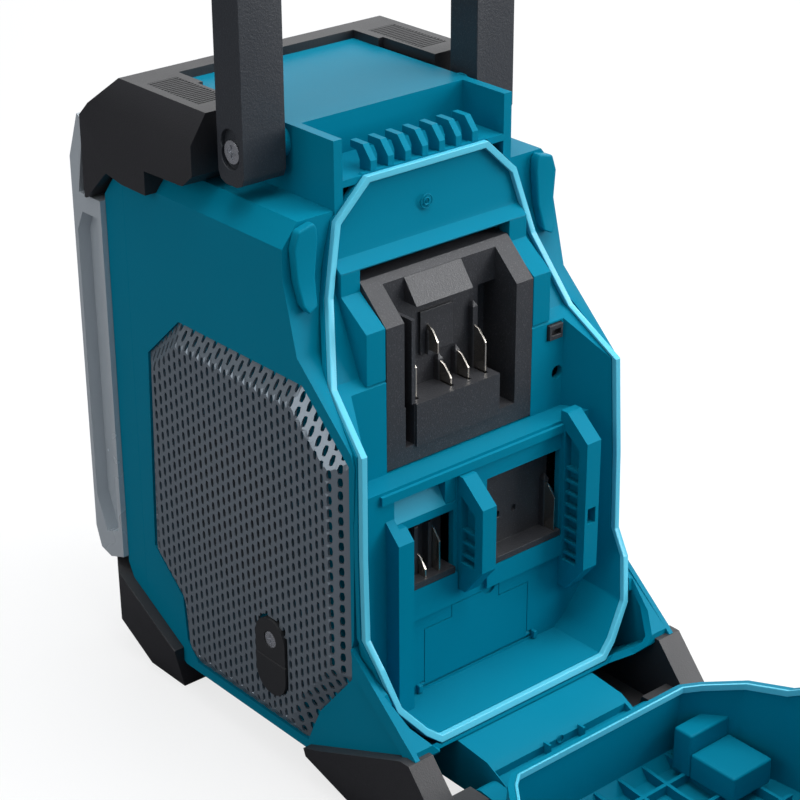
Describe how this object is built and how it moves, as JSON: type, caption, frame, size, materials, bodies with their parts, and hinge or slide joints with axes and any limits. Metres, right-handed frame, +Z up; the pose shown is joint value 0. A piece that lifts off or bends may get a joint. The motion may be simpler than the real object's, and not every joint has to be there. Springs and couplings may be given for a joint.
{
  "type": "jobsite radio",
  "caption": "Rugged jobsite radio with side speakers, a folding carry handle and a rear battery door that swings down from sliding battery terminals.",
  "frame": {"origin": "middle of the footprint with the door open, on the floor", "axes": "+Z up, +Y to the rear where the battery door lies, X across"},
  "size_m": [0.164, 0.556, 0.38],
  "materials": {
    "teal_case": "moulded ABS, satin",
    "seal": "pale soft rubber",
    "black_bumper": "textured elastomer",
    "pad_rubber": "ridged rubber",
    "handle_plastic": "glass filled nylon",
    "grip_rubber": "soft grip",
    "guard_finish": "silver painted plastic",
    "grille_metal": "grey powder coat",
    "terminal_plastic": "fine texture",
    "contact_metal": "nickel plated",
    "steel": "zinc plated",
    "magnet": "ferrite",
    "cone": "paper cone",
    "surround_rubber": "rolled rubber",
    "cell_jacket": "plain sleeve",
    "panel_black": "satin black",
    "lens": "clear window",
    "knob_plastic": "ribbed edge",
    "key_rubber": "moulded keys",
    "board": "printed circuit board"
  },
  "bodies": {
    "case": {"backup_battery_box": "teal_case", "backup_cells": "cell_jacket", "backup_springs": "contact_metal", "battery_compartment": "teal_case", "bumper_pads": "pad_rubber", "charge_port": "terminal_plastic", "control_panel": "panel_black", "dc_cap_base": "pad_rubber", "dc_cap_screw": "steel", "dc_jack": "terminal_plastic", "display_lens": "lens", "display_module": "panel_black", "encoder": "panel_black", "front_foot_left": "black_bumper", "front_foot_right": "black_bumper", "front_housing": "teal_case", "grille_left": "grille_metal", "grille_right": "grille_metal", "guard_left": "guard_finish", "guard_right": "guard_finish", "handle_bushes": "teal_case", "handle_pivot_screws": "steel", "hinge_pins": "steel", "main_board": "board", "main_contacts": "contact_metal", "main_terminal_block": "terminal_plastic", "rear_foot_left": "black_bumper", "rear_foot_right": "black_bumper", "rear_housing": "teal_case", "seal_ring": "seal", "shoulder_pads": "teal_case", "small_contacts": "contact_metal", "small_terminal_block": "terminal_plastic", "speaker_basket_left": "steel", "speaker_basket_right": "steel", "speaker_magnets": "magnet", "speaker_surround_left": "surround_rubber", "speaker_surround_right": "surround_rubber", "top_bumper": "black_bumper", "wide_contacts": "contact_metal", "wide_terminal_block": "terminal_plastic"},
    "handle": {"handle_frame": "handle_plastic", "handle_grip": "grip_rubber"},
    "door": {"door_shell": "teal_case", "door_gasket": "seal", "latch_pin": "steel"},
    "latch": {"latch_lever": "teal_case"},
    "backup_lid": {"backup_cover": "teal_case"},
    "dc_flap": {"dc_cap_flap": "pad_rubber"},
    "socket_flap": {"socket_cover": "pad_rubber"},
    "knob": {"tuning_knob": "knob_plastic"},
    "cone_left": {"speaker_cone_left": "cone"},
    "cone_right": {"speaker_cone_right": "cone"},
    "key_1": {"button_1": "key_rubber"},
    "key_2": {"button_2": "key_rubber"},
    "key_3": {"button_3": "key_rubber"},
    "key_4": {"button_4": "key_rubber"},
    "key_5": {"button_5": "key_rubber"},
    "key_6": {"button_6": "key_rubber"}
  },
  "joints": [
    {"name": "handle_fold", "type": "hinge", "parent": "case", "child": "handle", "pos_m": [0, -0.15661, 0.2818], "axis": [-1, 0, 0], "range_deg": [0, 90]},
    {"name": "door_swing", "type": "hinge", "parent": "case", "child": "door", "pos_m": [0, -0.02601, 0.0195], "axis": [1, 0, 0], "range_deg": [0, 95]},
    {"name": "latch_turn", "type": "hinge", "parent": "door", "child": "latch", "pos_m": [0, 0.24625, 0.06796], "axis": [1, 0, 0], "range_deg": [0, 50]},
    {"name": "backup_cover_swing", "type": "hinge", "parent": "case", "child": "backup_lid", "pos_m": [0, -0.08731, 0.0418], "axis": [-1, 0, 0], "range_deg": [0, 80]},
    {"name": "dc_flap_swing", "type": "hinge", "parent": "case", "child": "dc_flap", "pos_m": [0.081, -0.13151, 0.053], "axis": [0, -1, 0], "range_deg": [0, 90]},
    {"name": "socket_flap_swing", "type": "hinge", "parent": "case", "child": "socket_flap", "pos_m": [0, -0.25361, 0.0875], "axis": [-1, 0, 0], "range_deg": [0, 90]},
    {"name": "knob_turn", "type": "hinge", "parent": "case", "child": "knob", "pos_m": [0, -0.26101, 0.122], "axis": [0, 1, 0], "continuous": true},
    {"name": "cone_left_stroke", "type": "slide", "parent": "case", "child": "cone_left", "axis": [1, 0, 0], "range_m": [-0.0015, 0.0015], "stiffness_N_per_m": 900},
    {"name": "cone_right_stroke", "type": "slide", "parent": "case", "child": "cone_right", "axis": [-1, 0, 0], "range_m": [-0.0015, 0.0015], "stiffness_N_per_m": 900},
    {"name": "key_1_press", "type": "slide", "parent": "case", "child": "key_1", "axis": [0, 1, 0], "range_m": [0, 0.001], "stiffness_N_per_m": 600},
    {"name": "key_2_press", "type": "slide", "parent": "case", "child": "key_2", "axis": [0, 1, 0], "range_m": [0, 0.001], "stiffness_N_per_m": 600},
    {"name": "key_3_press", "type": "slide", "parent": "case", "child": "key_3", "axis": [0, 1, 0], "range_m": [0, 0.001], "stiffness_N_per_m": 600},
    {"name": "key_4_press", "type": "slide", "parent": "case", "child": "key_4", "axis": [0, 1, 0], "range_m": [0, 0.001], "stiffness_N_per_m": 600},
    {"name": "key_5_press", "type": "slide", "parent": "case", "child": "key_5", "axis": [0, 1, 0], "range_m": [0, 0.001], "stiffness_N_per_m": 600},
    {"name": "key_6_press", "type": "slide", "parent": "case", "child": "key_6", "axis": [0, 1, 0], "range_m": [0, 0.001], "stiffness_N_per_m": 600}
  ]
}
